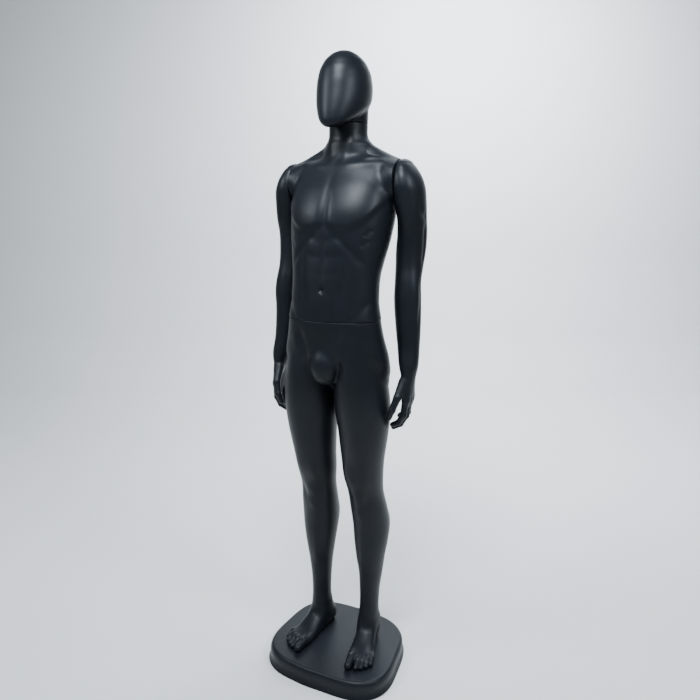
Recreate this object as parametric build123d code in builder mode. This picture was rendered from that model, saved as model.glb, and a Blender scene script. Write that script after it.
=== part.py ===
from build123d import *
import math
import os

# Full body display mannequin on a moulded base.
# +Z is up, the figure faces -Y, its left hand is on +X, the origin is under the base on the floor.

# --- overall -----------------------------------------------------------------------------
figure_height = 1855.0
drawn_figure_height = 1855.0
drawn_sole_z = 50.0
base_top_z = 50.0
shell_wall = 3.0
seam_gap = 1.5
running_clearance = 0.05
fixing_clearance = 0.2
thread_clearance = 0.05
overcut = 1.0
least_ring_step = 1.0



def lift(z):
    """A height drawn for the standard figure, moved to this base and this figure's stature."""
    return base_top_z + (z - drawn_sole_z) * figure_height / drawn_figure_height


def raised(rings):
    """Rings drawn for the standard figure, each moved to its height on this one."""
    return [(lift(z), *rest) for z, *rest in rings]


total_height = base_top_z + figure_height

# --- base --------------------------------------------------------------------------------
pad_height = 3.0
base_wall = 4.0
base_half_width = 206.0
base_half_depth = 178.0
pad_radius = 9.0
pad_peg_radius = 3.0
pad_peg_length = 7.0
pad_boss_radius = 12.0
pad_inset_x = 56.0
pad_inset_y = 60.0
pad_spread_x = base_half_width - pad_inset_x
pad_spread_y = base_half_depth - pad_inset_y
pad_hole_over = 1.0
rib_thickness = 3.0
rib_spacing_x = 62.0
rib_count = 5
rib_end_gap = 28.0
rib_bottom_z = 14.0

# --- steel plate and rods that hold the feet ------------------------------------------------
floor_plate_length = 300.0
floor_plate_width = 60.0
floor_plate_thickness = 5.0
floor_plate_corner = 8.0
floor_plate_pocket_gap = 2.0
rod_radius = 7.0
rod_rise = 78.0
rod_thread_over = 3.0
rod_tip_chamfer = 2.0
rod_nut_wall = 2.5
rod_nut_height = 9.0
rod_washer_rim = 8.0
rod_washer_thickness = 2.0
foot_bush_wall = 4.0
foot_bush_radius = rod_radius + foot_bush_wall
foot_bush_height = 84.0
plate_screw_inset_x = 15.0
plate_screw_inset_y = 12.0
plate_screw_spread_x = floor_plate_length / 2 - plate_screw_inset_x
plate_screw_spread_y = floor_plate_width / 2 - plate_screw_inset_y
plate_screw_radius = 2.4

# --- lower body: z, x, y, half width, half depth of each ring -------------------------------
waist_y = -42.0
waist_half_width = 146.0
waist_half_depth = 96.0
waist_z = lift(1100.0)
leg_x = 87.0
ankle_y = 46.0
pelvis_rings = raised([
    (1046.0, 0.0, -37.0, 154.0, 98.0),
    (985.0, 0.0, -27.0, 167.0, 100.0),
    (930.0, 0.0, -20.0, 168.0, 98.0),
    (892.0, 0.0, -17.0, 158.0, 88.0),
    (866.0, 0.0, -14.0, 122.0, 66.0),
    (848.0, 0.0, -12.0, 62.0, 36.0),
])
pelvis_floor_z = lift(880.0)
leg_floor_z = lift(110.0)
leg_rings = raised([
    (925.0, leg_x - 5.0, -28.0, 72.0, 84.0),
    (865.0, leg_x - 1.0, -26.0, 83.0, 93.0),
    (822.0, leg_x, -22.0, 84.0, 90.0),
    (768.0, leg_x + 1.0, -18.0, 78.0, 83.0),
    (715.0, leg_x - 1.0, -13.0, 71.5, 78.0),
    (662.0, leg_x - 4.0, -7.0, 65.0, 71.0),
    (608.0, leg_x - 6.0, 2.0, 61.0, 66.0),
    (551.0, leg_x - 4.0, 17.0, 55.0, 60.0),
    (492.0, leg_x, 34.0, 57.0, 63.0),
    (434.0, leg_x + 3.0, 48.0, 57.5, 65.0),
    (383.0, leg_x + 3.0, 47.0, 53.0, 60.0),
    (332.0, leg_x + 2.0, 45.0, 45.5, 52.0),
    (275.0, leg_x + 2.0, 47.0, 37.0, 43.0),
    (223.0, leg_x, ankle_y, 31.5, 38.0),
    (170.0, leg_x, ankle_y + 2.0, 31.0, 39.0),
    (120.0, leg_x - 1.0, ankle_y + 4.0, 33.0, 43.0),
    (84.0, leg_x - 2.0, ankle_y + 4.0, 30.0, 42.0),
])
groin_rings = raised([
    (912.0, 0.0, -104.0, 15.0, 11.0),
    (926.0, 0.0, -108.0, 28.0, 21.0),
    (952.0, 0.0, -111.0, 34.0, 25.0),
    (984.0, 0.0, -112.0, 27.0, 20.0),
    (1004.0, 0.0, -112.0, 13.0, 9.0),
])
# --- foot: distance from the heel, half width, height of each section -----------------------
foot_length = 242.0
toe_out_deg = 12.0
heel_x = 68.0
heel_y = 119.0
foot_sections = [
    (0.0, 15.0, 34.0),
    (0.05, 28.0, 62.0),
    (0.17, 33.0, 88.0),
    (0.33, 34.0, 92.0),
    (0.48, 37.0, 70.0),
    (0.65, 43.0, 48.0),
    (0.82, 46.0, 34.0),
    (0.94, 41.0, 26.0),
    (1.0, 27.0, 19.0),
]
sole_fill = 0.3

# --- waist twist coupling -------------------------------------------------------------------
hub_radius = 40.0
hub_wall = 9.0
hub_flange_rim = 10.0
hub_flange_thickness = 6.0
hip_plate_rim = 14.0
hip_plate_thickness = 8.0
lug_reach = 8.0
lug_root = 2.0
lug_thickness = 6.0
lug_count = 3
lug_angle_deg = 30.0
lug_slot_clearance = 0.6
lug_slot_slack_deg = 4.0
twist_deg = 50.0
stop_angle_deg = 8.0
stop_slack_deg = 1.0
stop_margin = 4.0
coupling_gap = 0.3
coupling_screw_radius = 2.4
coupling_screw_margin = 12.0
coupling_screw_count = 6
hub_bore_radius = hub_radius - hub_wall
coupling_screw_ring = hub_radius + lug_reach + coupling_screw_margin
hub_flange_radius = coupling_screw_ring + hub_flange_rim
hip_plate_radius = coupling_screw_ring + hip_plate_rim

# --- torso: z, x, y, half width, half depth ---------------------------------------------------
neck_y = 48.0
neck_radius = 61.0
neck_top_z = lift(1688.0)
torso_rings = raised([
    (1130.0, 0.0, -42.0, 141.0, 95.0),
    (1165.0, 0.0, -40.0, 138.0, 95.0),
    (1195.0, 0.0, -37.0, 137.0, 96.0),
    (1230.0, 0.0, -31.0, 138.0, 99.0),
    (1275.0, 0.0, -20.0, 145.0, 105.0),
    (1322.0, 0.0, -7.0, 153.0, 115.0),
    (1370.0, 0.0, 3.0, 159.0, 122.0),
    (1410.0, 0.0, 12.0, 163.0, 125.0),
    (1450.0, 0.0, 21.0, 165.0, 122.0),
    (1490.0, 0.0, 29.0, 163.0, 113.0),
    (1530.0, 0.0, 36.0, 152.0, 97.0),
    (1562.0, 0.0, 41.0, 125.0, 83.0),
    (1592.0, 0.0, 45.0, 92.0, 66.0),
    (1622.0, 0.0, 47.0, 68.0, 60.0),
])
# shoulder yoke: x, y, z, half depth, half height
shoulder_y = 50.0
shoulder_z = lift(1517.0)
shoulder_face_x = 174.0
yoke_rings = [
    (0.0, 36.0, shoulder_z - 21.0, 74.0, 78.0),
    (70.0, 39.0, shoulder_z - 14.0, 74.0, 80.0),
    (120.0, 44.0, shoulder_z - 6.0, 70.0, 74.0),
    (152.0, 48.0, shoulder_z - 1.0, 65.0, 65.0),
    (shoulder_face_x, shoulder_y - 2.0, shoulder_z, 60.0, 57.0),
]

# --- head -----------------------------------------------------------------------------------
neck_gap = 3.0
jaw_slope_deg = 20.0
jaw_front_gap = 2.0
head_rings = raised([
    (1640.0, 0.0, -36.0, 42.0, 62.0),
    (1660.0, 0.0, -27.0, 49.0, 73.0),
    (1680.0, 0.0, -15.0, 57.0, 86.0),
    (1700.0, 0.0, -1.0, 65.0, 96.0),
    (1730.0, 0.0, 11.0, 73.0, 104.0),
    (1770.0, 0.0, 20.0, 79.0, 107.0),
    (1812.0, 0.0, 24.0, 78.0, 104.0),
    (1850.0, 0.0, 25.0, 69.0, 92.0),
    (1880.0, 0.0, 25.0, 51.0, 68.0),
    (1896.0, 0.0, 25.0, 32.0, 43.0),
    (1903.0, 0.0, 25.0, 17.0, 23.0),
    (1905.0, 0.0, 25.0, 8.0, 11.0),
])
skull_roof_z = lift(1898.0)
nape_upper_rings = raised([
    (1712.0, 0.0, neck_y - 3.0, 63.0, 63.0),
    (1738.0, 0.0, neck_y - 9.0, 66.0, 67.0),
    (1768.0, 0.0, neck_y - 15.0, 60.0, 61.0),
])
nape_rings = [(neck_top_z + neck_gap, 0.0, neck_y, neck_radius, neck_radius)] + nape_upper_rings
nape_roof_z = lift(1764.0)

# --- neck pivot -----------------------------------------------------------------------------
neck_plate_radius = 46.0
neck_plate_thickness = 5.0
pivot_radius = 6.0
pivot_head_across_flats = 19.0
pivot_head_height = 8.0
pivot_spring_height = 5.0
pivot_spring_radius = 11.0
pivot_spring_gauge = 1.6
pivot_nut_height = 10.0
pivot_thread_over = 4.0
neck_screw_ring = 36.0
neck_screw_count = 4
small_screw_radius = 1.9
screw_head_ratio = 1.9
screw_head_height = 2.2
screw_bite = 2.4

# --- arm: z, x, y, half width, half depth ---------------------------------------------------
arm_wall = 2.6
arm_seat_x = 177.0
arm_seat_radius = 75.0
arm_clear_x = 168.5
arm_clear_radius = 125.0
arm_rings = raised([
    (1578.0, 192.0, 50.0, 8.0, 10.0),
    (1574.0, 192.0, 50.0, 21.0, 27.0),
    (1561.0, 193.0, 51.0, 33.0, 45.0),
    (1540.0, 195.0, 52.0, 42.0, 57.0),
    (1500.0, 198.0, 55.0, 50.0, 65.0),
    (1450.0, 203.0, 60.0, 47.0, 63.0),
    (1403.0, 208.0, 62.0, 42.0, 60.0),
    (1355.0, 206.0, 68.0, 43.0, 59.0),
    (1306.0, 203.5, 66.0, 44.0, 56.0),
    (1258.0, 203.5, 54.0, 41.0, 49.0),
    (1211.0, 205.0, 38.0, 39.0, 43.0),
    (1164.0, 206.0, 34.0, 40.0, 45.0),
    (1091.0, 209.0, 33.0, 38.0, 43.0),
    (1020.0, 214.0, 26.0, 33.0, 38.0),
    (952.0, 221.0, 10.0, 26.0, 33.0),
    (925.0, 222.0, 8.0, 20.0, 34.0),
    (898.0, 223.0, 7.0, 17.0, 40.0),
    (860.0, 221.0, 6.0, 15.5, 43.0),
    (830.0, 217.0, 3.0, 14.0, 41.0),
    (800.0, 208.0, -1.0, 12.0, 35.0),
    (770.0, 198.0, -4.0, 10.0, 27.0),
    (750.0, 190.0, -6.0, 8.0, 18.0),
    (742.0, 187.0, -6.0, 5.0, 11.0),
])
thumb_rings = raised([
    (912.0, 219.0, -18.0, 10.0, 11.0),
    (875.0, 208.0, -46.0, 11.0, 12.0),
    (835.0, 195.0, -54.0, 9.5, 10.0),
    (805.0, 186.0, -51.0, 7.5, 8.0),
    (797.0, 184.0, -50.0, 4.0, 4.0),
])
arm_roof_z = lift(1574.0)
hollow_wrist_z = lift(935.0)
arm_screw_skin = 0.6

# --- shoulder pivot, laid along X -------------------------------------------------------------
stud_radius = 8.0
stud_flange_radius = 34.0
stud_flange_thickness = 4.0
socket_flange_radius = 34.0
socket_flange_thickness = 4.0
socket_sleeve_radius = 14.0
socket_sleeve_length = 20.0
disc_spring_height = 10.0
disc_spring_radius = 15.0
disc_spring_turns = 4
disc_spring_lip = 2.0
stud_nut_height = 11.0
stud_nut_across_flats = 24.0
stud_thread_over = 4.0
shoulder_washer_radius = 40.0
shoulder_screw_ring = 25.0
shoulder_screw_count = 4

os.makedirs("parts", exist_ok=True)


def rings_loft(rings, inset=0.0):
    """One solid skinned through level ellipses given as z, x, y, half width, half depth."""
    with BuildPart() as skin:
        for z, x, y, half_width, half_depth in rings:
            with BuildSketch(Plane.XY.offset(z)):
                with Locations((x, y)):
                    Ellipse(half_width - inset, half_depth - inset)
        loft()
    return skin.part


def level_ring(rings, z):
    """The ring a stack of rings has at height z, by straight interpolation."""
    stack = sorted(rings)
    for low, high in zip(stack, stack[1:]):
        if low[0] <= z <= high[0]:
            share = (z - low[0]) / (high[0] - low[0])
            rest = [a + (b - a) * share for a, b in zip(low[1:], high[1:])]
            return (z, *rest)
    nearest = stack[0] if z < stack[0][0] else stack[-1]
    return (z, *nearest[1:])


def cut_stack(rings, low_z, high_z):
    """The same stack of rings, ended at low_z and high_z."""
    inner = [ring for ring in sorted(rings) if low_z + least_ring_step < ring[0] < high_z - least_ring_step]
    return [level_ring(rings, low_z)] + inner + [level_ring(rings, high_z)]


def screws(count, ring_radius, radius, length, plane):
    """Pan head screws on a ring; each head is below the plane and each shank above it."""
    with BuildPart() as group:
        with BuildSketch(plane):
            with PolarLocations(ring_radius, count):
                Circle(radius)
        extrude(amount=length)
        with BuildSketch(plane):
            with PolarLocations(ring_radius, count):
                Circle(radius * screw_head_ratio)
        extrude(amount=-screw_head_height)
    return group.part


def screw_holes(count, ring_radius, radius, length, plane):
    """Round holes for screws on a ring, running up from the plane."""
    with BuildPart() as group:
        with BuildSketch(plane):
            with PolarLocations(ring_radius, count):
                Circle(radius)
        extrude(amount=length)
    return group.part


def flip_x(solid):
    """The same solid on the other side of the middle plane."""
    return mirror(solid, about=Plane.YZ)


# --- base ---------------------------------------------------------------------------------
base_outline = [
    (0.0, -1.0),
    (0.36, -0.985),
    (0.7, -0.9),
    (0.92, -0.68),
    (1.0, -0.36),
    (0.985, 0.0),
    (0.95, 0.36),
    (0.85, 0.68),
    (0.62, 0.9),
    (0.32, 0.985),
    (0.0, 1.0),
]
base_levels = [(pad_height, 0.0), (34.0, 4.5), (43.0, 6.5), (48.0, 10.0), (base_top_z, 15.0)]


def base_solid(levels, inset):
    """The base's outline skinned through its levels, each drawn in by its own amount."""
    with BuildPart() as block:
        for z, draw_in in levels:
            half_x = base_half_width - draw_in - inset
            half_y = base_half_depth - draw_in - inset
            right = [(half_x * u, half_y * v) for u, v in base_outline]
            left = [(-x, y) for x, y in reversed(right[1:-1])]
            with BuildSketch(Plane.XY.offset(z)):
                with BuildLine():
                    Spline(*right, *left, periodic=True)
                make_face()
        loft()
    return block.part


base_inner_levels = [(z, d) for z, d in base_levels[:2]] + [(base_top_z - base_wall, base_levels[2][1])]
base_outer = base_solid(base_levels, 0.0)
base_inner = base_solid(base_inner_levels, base_wall)
floor_plate_top = base_top_z - base_wall
floor_plate_bottom = floor_plate_top - floor_plate_thickness

with BuildPart() as base_shell:
    add(base_outer)
    add(base_inner, mode=Mode.SUBTRACT)
    with BuildSketch(Plane.XY.offset(pad_height)):
        with GridLocations(2 * pad_spread_x, 2 * pad_spread_y, 2, 2):
            Circle(pad_boss_radius)
    extrude(amount=base_top_z - base_wall - pad_height)
    with BuildSketch(Plane.XY.offset(rib_bottom_z)):
        with GridLocations(rib_spacing_x, 0, rib_count, 1):
            Rectangle(rib_thickness, 2 * (base_half_depth - rib_end_gap))
    extrude(amount=floor_plate_top - rib_bottom_z)
    with BuildSketch(Plane.XY.offset(pad_height)):
        with Locations((0, ankle_y)):
            Rectangle(
                floor_plate_length + 2 * floor_plate_pocket_gap,
                floor_plate_width + 2 * floor_plate_pocket_gap,
            )
    extrude(amount=floor_plate_top - pad_height, mode=Mode.SUBTRACT)
    with BuildSketch(Plane.XY.offset(pad_height)):
        with GridLocations(2 * pad_spread_x, 2 * pad_spread_y, 2, 2):
            Circle(pad_peg_radius + running_clearance)
    extrude(amount=pad_peg_length + pad_hole_over, mode=Mode.SUBTRACT)
    with BuildSketch(Plane.XY.offset(floor_plate_top)):
        with Locations((leg_x, ankle_y), (-leg_x, ankle_y)):
            Circle(rod_radius + fixing_clearance)
    extrude(amount=base_wall + overcut, mode=Mode.SUBTRACT)
    with BuildSketch(Plane.XY.offset(floor_plate_top)):
        with Locations((0, ankle_y)):
            with GridLocations(2 * plate_screw_spread_x, 2 * plate_screw_spread_y, 2, 2):
                Circle(plate_screw_radius + thread_clearance)
    extrude(amount=screw_bite, mode=Mode.SUBTRACT)

with BuildPart() as base_pads:
    with BuildSketch(Plane.XY):
        with GridLocations(2 * pad_spread_x, 2 * pad_spread_y, 2, 2):
            Circle(pad_radius)
    extrude(amount=pad_height)
    with BuildSketch(Plane.XY.offset(pad_height)):
        with GridLocations(2 * pad_spread_x, 2 * pad_spread_y, 2, 2):
            Circle(pad_peg_radius)
    extrude(amount=pad_peg_length)

with BuildPart() as floor_plate:
    with BuildSketch(Plane.XY.offset(floor_plate_bottom)):
        with Locations((0, ankle_y)):
            RectangleRounded(floor_plate_length, floor_plate_width, floor_plate_corner)
        with Locations((leg_x, ankle_y), (-leg_x, ankle_y)):
            Circle(rod_radius + fixing_clearance, mode=Mode.SUBTRACT)
        with Locations((0, ankle_y)):
            with GridLocations(2 * plate_screw_spread_x, 2 * plate_screw_spread_y, 2, 2):
                Circle(plate_screw_radius + fixing_clearance, mode=Mode.SUBTRACT)
    extrude(amount=floor_plate_thickness)

with BuildPart() as floor_plate_screws:
    with BuildSketch(Plane.XY.offset(floor_plate_bottom)):
        with Locations((0, ankle_y)):
            with GridLocations(2 * plate_screw_spread_x, 2 * plate_screw_spread_y, 2, 2):
                Circle(plate_screw_radius)
    extrude(amount=floor_plate_thickness + screw_bite - fixing_clearance)
    with BuildSketch(Plane.XY.offset(floor_plate_bottom)):
        with Locations((0, ankle_y)):
            with GridLocations(2 * plate_screw_spread_x, 2 * plate_screw_spread_y, 2, 2):
                Circle(plate_screw_radius * screw_head_ratio)
    extrude(amount=-screw_head_height)

rod_washer_bottom = floor_plate_bottom - rod_washer_thickness
rod_nut_bottom = rod_washer_bottom - rod_nut_height

with BuildPart() as left_foot_rod:
    with BuildSketch(Plane.XY.offset(rod_nut_bottom - rod_thread_over)):
        with Locations((leg_x, ankle_y)):
            Circle(rod_radius)
    extrude(amount=base_top_z + rod_rise - rod_nut_bottom + rod_thread_over)
    chamfer(left_foot_rod.edges().sort_by(Axis.Z)[-1], rod_tip_chamfer)

with BuildPart() as foot_rod_washers:
    with BuildSketch(Plane.XY.offset(rod_washer_bottom)):
        with Locations((leg_x, ankle_y), (-leg_x, ankle_y)):
            Circle(rod_radius + rod_washer_rim)
            Circle(rod_radius + fixing_clearance, mode=Mode.SUBTRACT)
    extrude(amount=rod_washer_thickness)

with BuildPart() as foot_rod_nuts:
    with BuildSketch(Plane.XY.offset(rod_nut_bottom)):
        with Locations((leg_x, ankle_y), (-leg_x, ankle_y)):
            RegularPolygon(rod_radius + rod_nut_wall, 6, major_radius=False)
            Circle(rod_radius + thread_clearance, mode=Mode.SUBTRACT)
    extrude(amount=rod_nut_height)

with BuildPart() as left_foot_bush:
    with BuildSketch(Plane.XY.offset(base_top_z)):
        with Locations((leg_x, ankle_y)):
            Circle(foot_bush_radius)
            Circle(rod_radius + running_clearance, mode=Mode.SUBTRACT)
    extrude(amount=foot_bush_height)

# --- lower body -----------------------------------------------------------------------------
hip_top_z = waist_z - seam_gap
hip_top_ring = (hip_top_z, 0.0, waist_y, waist_half_width, waist_half_depth)
pelvis_stack = [hip_top_ring] + pelvis_rings
hip_wall_bottom = hip_top_z - shell_wall
hip_plate_bottom = hip_wall_bottom - hip_plate_thickness
pelvis_outer = rings_loft(pelvis_stack)
pelvis_inner = rings_loft(cut_stack(pelvis_stack, pelvis_floor_z, hip_wall_bottom), shell_wall)
leg_outer = rings_loft(leg_rings)
leg_inner = rings_loft(cut_stack(leg_rings, leg_floor_z, leg_rings[0][0]), shell_wall)
groin_outer = rings_loft(groin_rings)


def foot_solid(inset, sole_z):
    """A foot skinned through upright sections from heel to toe, cut level at sole_z."""
    turn = math.radians(toe_out_deg)
    along = Vector(math.sin(turn), -math.cos(turn), 0)
    across = Vector(math.cos(turn), math.sin(turn), 0)
    start = Vector(heel_x, heel_y, base_top_z)
    with BuildPart() as foot:
        for share, half_width, height in foot_sections:
            reach = inset + share * (foot_length - 2 * inset)
            centre = start + along * reach + Vector(0, 0, height * sole_fill)
            with BuildSketch(Plane(origin=centre, x_dir=across, z_dir=along)):
                Ellipse(half_width - inset, height * (1 - sole_fill) - inset)
        loft()
        split(bisect_by=Plane.XY.offset(sole_z), keep=Keep.TOP)
    return foot.part


foot_outer = foot_solid(0.0, base_top_z)
foot_inner = foot_solid(shell_wall, base_top_z + shell_wall)
left_limb_outer = leg_outer + foot_outer
left_limb_inner = leg_inner + foot_inner
right_limb_outer = flip_x(left_limb_outer)
right_limb_inner = flip_x(left_limb_inner)
hip_screw_plane = Plane(origin=(0, waist_y, hip_plate_bottom))

with BuildPart() as lower_body_shell:
    add(pelvis_outer)
    add(left_limb_outer)
    add(right_limb_outer)
    add(groin_outer)
    add(pelvis_inner, mode=Mode.SUBTRACT)
    add(left_limb_inner, mode=Mode.SUBTRACT)
    add(right_limb_inner, mode=Mode.SUBTRACT)
    with BuildSketch(Plane.XY.offset(hip_wall_bottom - overcut)):
        with Locations((0, waist_y)):
            Circle(hub_radius + lug_reach + lug_slot_clearance)
    extrude(amount=shell_wall + 2 * overcut, mode=Mode.SUBTRACT)
    with BuildSketch(Plane.XY.offset(base_top_z - overcut)):
        with Locations((leg_x, ankle_y), (-leg_x, ankle_y)):
            Circle(foot_bush_radius + fixing_clearance)
    extrude(amount=shell_wall + 2 * overcut, mode=Mode.SUBTRACT)
    add(
        screw_holes(
            coupling_screw_count, coupling_screw_ring, coupling_screw_radius + thread_clearance,
            hip_plate_thickness + screw_bite, hip_screw_plane,
        ),
        mode=Mode.SUBTRACT,
    )

lug_step_deg = 360.0 / lug_count


def ring_sector(inner_radius, outer_radius, middle_deg, width_deg):
    """Corner points of a slice of a ring, with its curved sides as short chords."""
    steps = 8
    angles = [
        math.radians(middle_deg - width_deg / 2 + width_deg * step / steps) for step in range(steps + 1)
    ]
    outer = [(outer_radius * math.cos(a), outer_radius * math.sin(a)) for a in angles]
    inner = [(inner_radius * math.cos(a), inner_radius * math.sin(a)) for a in reversed(angles)]
    return outer + inner


stop_offset_deg = lug_angle_deg / 2 + stop_slack_deg + stop_angle_deg / 2
slot_angle_deg = lug_angle_deg + lug_slot_slack_deg
stop_inner = hub_radius + lug_slot_clearance

with BuildPart() as hip_waist_plate:
    with BuildSketch(hip_screw_plane):
        Circle(hip_plate_radius)
        Circle(hub_radius + running_clearance, mode=Mode.SUBTRACT)
        for index in range(lug_count):
            middle = index * lug_step_deg + twist_deg
            Polygon(
                *ring_sector(
                    hub_radius - lug_root, hub_radius + lug_reach + lug_slot_clearance,
                    middle, slot_angle_deg,
                ),
                align=None, mode=Mode.SUBTRACT,
            )
        with PolarLocations(coupling_screw_ring, coupling_screw_count):
            Circle(coupling_screw_radius + fixing_clearance, mode=Mode.SUBTRACT)
    extrude(amount=hip_plate_thickness)
    with BuildSketch(hip_screw_plane):
        for index in range(lug_count):
            for middle in (-stop_offset_deg, twist_deg + stop_offset_deg):
                Polygon(
                    *ring_sector(
                        stop_inner, hub_radius + lug_reach + stop_margin,
                        index * lug_step_deg + middle, stop_angle_deg,
                    ),
                    align=None,
                )
    extrude(amount=-lug_thickness)

hip_plate_screws = screws(
    coupling_screw_count, coupling_screw_ring, coupling_screw_radius,
    hip_plate_thickness + screw_bite - fixing_clearance, hip_screw_plane,
)

# --- torso ----------------------------------------------------------------------------------
torso_bottom_ring = (waist_z, 0.0, waist_y, waist_half_width, waist_half_depth)
torso_top_ring = (neck_top_z, 0.0, neck_y, neck_radius, neck_radius)
torso_stack = [torso_bottom_ring] + torso_rings + [torso_top_ring]
torso_floor_top = waist_z + shell_wall
neck_wall_bottom = neck_top_z - shell_wall


def yoke_solid(inset):
    """The shoulder mass from one arm seat to the other, skinned along X."""
    mirrored = [(-x, y, z, ry, rz) for x, y, z, ry, rz in yoke_rings[1:]]
    sections = sorted(mirrored + yoke_rings)
    with BuildPart() as yoke:
        for x, y, z, half_depth, half_height in sections:
            inset_x = max(-shoulder_face_x + inset, min(shoulder_face_x - inset, x))
            with BuildSketch(Plane(origin=(inset_x, y, z), x_dir=(0, 1, 0), z_dir=(1, 0, 0))):
                Ellipse(half_depth - inset, half_height - inset)
        loft()
    return yoke.part


trunk_outer = rings_loft(torso_stack)
trunk_inner = rings_loft(cut_stack(torso_stack, torso_floor_top, neck_wall_bottom), shell_wall)
yoke_outer = yoke_solid(0.0)
yoke_inner = yoke_solid(shell_wall)
torso_hub_plane = Plane(origin=(0, waist_y, torso_floor_top + hub_flange_thickness), z_dir=(0, 0, -1))
torso_neck_plane = Plane(origin=(0, neck_y, neck_wall_bottom - neck_plate_thickness))
socket_face_x = shoulder_face_x - shell_wall - socket_flange_thickness
socket_plane = Plane(origin=(socket_face_x, shoulder_y, shoulder_z), x_dir=(0, 1, 0), z_dir=(1, 0, 0))
socket_hole_length = socket_flange_thickness + screw_bite
left_socket_holes = screw_holes(
    shoulder_screw_count, shoulder_screw_ring, small_screw_radius + thread_clearance,
    socket_hole_length, socket_plane,
)
torso_hub_holes = screw_holes(
    coupling_screw_count, coupling_screw_ring, coupling_screw_radius + thread_clearance,
    hub_flange_thickness + screw_bite, torso_hub_plane,
)
torso_neck_holes = screw_holes(
    neck_screw_count, neck_screw_ring, small_screw_radius + thread_clearance,
    neck_plate_thickness + screw_bite, torso_neck_plane,
)

with BuildPart() as torso_shell:
    add(trunk_outer)
    add(yoke_outer)
    add(trunk_inner, mode=Mode.SUBTRACT)
    add(yoke_inner, mode=Mode.SUBTRACT)
    with BuildSketch(Plane.XY.offset(waist_z - overcut)):
        with Locations((0, waist_y)):
            Circle(hub_radius + fixing_clearance)
    extrude(amount=shell_wall + 2 * overcut, mode=Mode.SUBTRACT)
    with BuildSketch(Plane.XY.offset(neck_wall_bottom - overcut)):
        with Locations((0, neck_y)):
            Circle(pivot_radius + fixing_clearance)
    extrude(amount=shell_wall + 2 * overcut, mode=Mode.SUBTRACT)
    for side in (-1, 1):
        with BuildSketch(Plane.YZ.offset(side * (shoulder_face_x + overcut))):
            with Locations((shoulder_y, shoulder_z)):
                Circle(socket_sleeve_radius + fixing_clearance)
        extrude(amount=-side * (shell_wall + 2 * overcut), mode=Mode.SUBTRACT)
    add(left_socket_holes, mode=Mode.SUBTRACT)
    add(flip_x(left_socket_holes), mode=Mode.SUBTRACT)
    add(torso_hub_holes, mode=Mode.SUBTRACT)
    add(torso_neck_holes, mode=Mode.SUBTRACT)

lug_top_z = hip_plate_bottom - coupling_gap

with BuildPart() as waist_hub:
    with BuildSketch(Plane(origin=(0, waist_y, torso_floor_top))):
        Circle(hub_flange_radius)
        Circle(hub_bore_radius, mode=Mode.SUBTRACT)
        with PolarLocations(coupling_screw_ring, coupling_screw_count):
            Circle(coupling_screw_radius + fixing_clearance, mode=Mode.SUBTRACT)
    extrude(amount=hub_flange_thickness)
    with BuildSketch(Plane(origin=(0, waist_y, torso_floor_top))):
        Circle(hub_radius)
        Circle(hub_bore_radius, mode=Mode.SUBTRACT)
    extrude(amount=lug_top_z - lug_thickness - torso_floor_top)
    with BuildSketch(Plane(origin=(0, waist_y, lug_top_z))):
        for index in range(lug_count):
            Polygon(
                *ring_sector(
                    hub_radius - lug_root, hub_radius + lug_reach, index * lug_step_deg, lug_angle_deg,
                ),
                align=None,
            )
    extrude(amount=-lug_thickness)

waist_hub_screws = screws(
    coupling_screw_count, coupling_screw_ring, coupling_screw_radius,
    hub_flange_thickness + screw_bite - fixing_clearance, torso_hub_plane,
)

# --- neck pivot -----------------------------------------------------------------------------
head_floor_z = neck_top_z + neck_gap
head_floor_top = head_floor_z + shell_wall
head_plate_top = head_floor_top + neck_plate_thickness
pivot_spring_bottom = head_plate_top + coupling_gap
pivot_nut_bottom = pivot_spring_bottom + pivot_spring_height

with BuildPart() as torso_neck_plate:
    with BuildSketch(torso_neck_plane):
        Circle(neck_plate_radius)
        Circle(pivot_radius + fixing_clearance, mode=Mode.SUBTRACT)
        with PolarLocations(neck_screw_ring, neck_screw_count):
            Circle(small_screw_radius + fixing_clearance, mode=Mode.SUBTRACT)
    extrude(amount=neck_plate_thickness)

torso_neck_screws = screws(
    neck_screw_count, neck_screw_ring, small_screw_radius,
    neck_plate_thickness + screw_bite - fixing_clearance, torso_neck_plane,
)

with BuildPart() as neck_pivot:
    with BuildSketch(torso_neck_plane):
        RegularPolygon(pivot_head_across_flats / 2, 6, major_radius=False)
    extrude(amount=-pivot_head_height)
    with BuildSketch(torso_neck_plane):
        Circle(pivot_radius)
    extrude(amount=pivot_nut_bottom + pivot_nut_height + pivot_thread_over - torso_neck_plane.origin.Z)

with BuildPart() as neck_friction_washer:
    with BuildSketch(Plane(origin=(0, neck_y, neck_top_z))):
        Circle(neck_plate_radius)
        Circle(pivot_radius + fixing_clearance, mode=Mode.SUBTRACT)
    extrude(amount=neck_gap - coupling_gap)

with BuildPart() as neck_spring_washer:
    with BuildSketch(Plane.XZ):
        with BuildLine():
            Polyline(
                (pivot_radius + fixing_clearance, pivot_nut_bottom - pivot_spring_gauge),
                (pivot_spring_radius, pivot_spring_bottom),
                (pivot_spring_radius, pivot_spring_bottom + pivot_spring_gauge),
                (pivot_radius + fixing_clearance, pivot_nut_bottom),
                close=True,
            )
        make_face()
    revolve(axis=Axis.Z)
neck_spring_washer.part = Pos(0, neck_y, 0) * neck_spring_washer.part

with BuildPart() as neck_nut:
    with BuildSketch(Plane(origin=(0, neck_y, pivot_nut_bottom))):
        RegularPolygon(pivot_head_across_flats / 2, 6, major_radius=False)
        Circle(pivot_radius + thread_clearance, mode=Mode.SUBTRACT)
    extrude(amount=pivot_nut_height)

# --- head -----------------------------------------------------------------------------------


jaw_foot_y = neck_y - neck_radius
jaw_foot_z = head_floor_z + jaw_front_gap


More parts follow.
